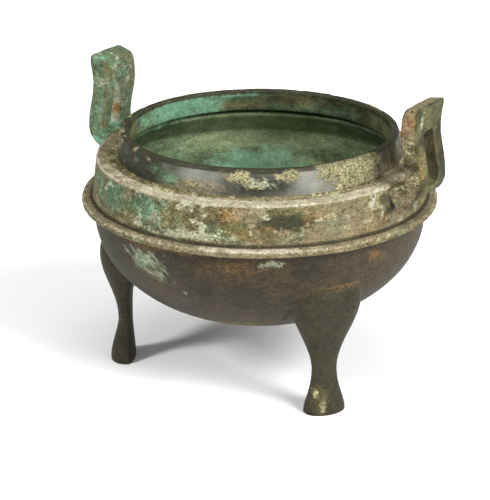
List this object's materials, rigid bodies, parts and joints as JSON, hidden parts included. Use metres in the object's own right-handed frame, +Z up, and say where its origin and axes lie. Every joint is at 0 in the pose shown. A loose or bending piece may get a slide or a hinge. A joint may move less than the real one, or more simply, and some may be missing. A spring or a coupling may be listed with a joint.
{
  "type": "bronze ding vessel",
  "caption": "Round cast bronze food vessel: deep bowl with a flange, a lid ledge and a short thick-lipped neck, standing on cabriole legs, with pierced upright ears.",
  "frame": {"origin": "on the ground, under the middle of the bowl", "axes": "+Z up; the ears stand on +X and -X; one leg stands towards +Y and the other two towards -Y, left and right"},
  "size_m": [0.2314, 0.216, 0.185],
  "materials": {
    "bronze": "dull dark bronze under green, tan and rust-coloured patina"
  },
  "bodies": {
    "root": {"ding_vessel": "bronze"}
  },
  "joints": []
}
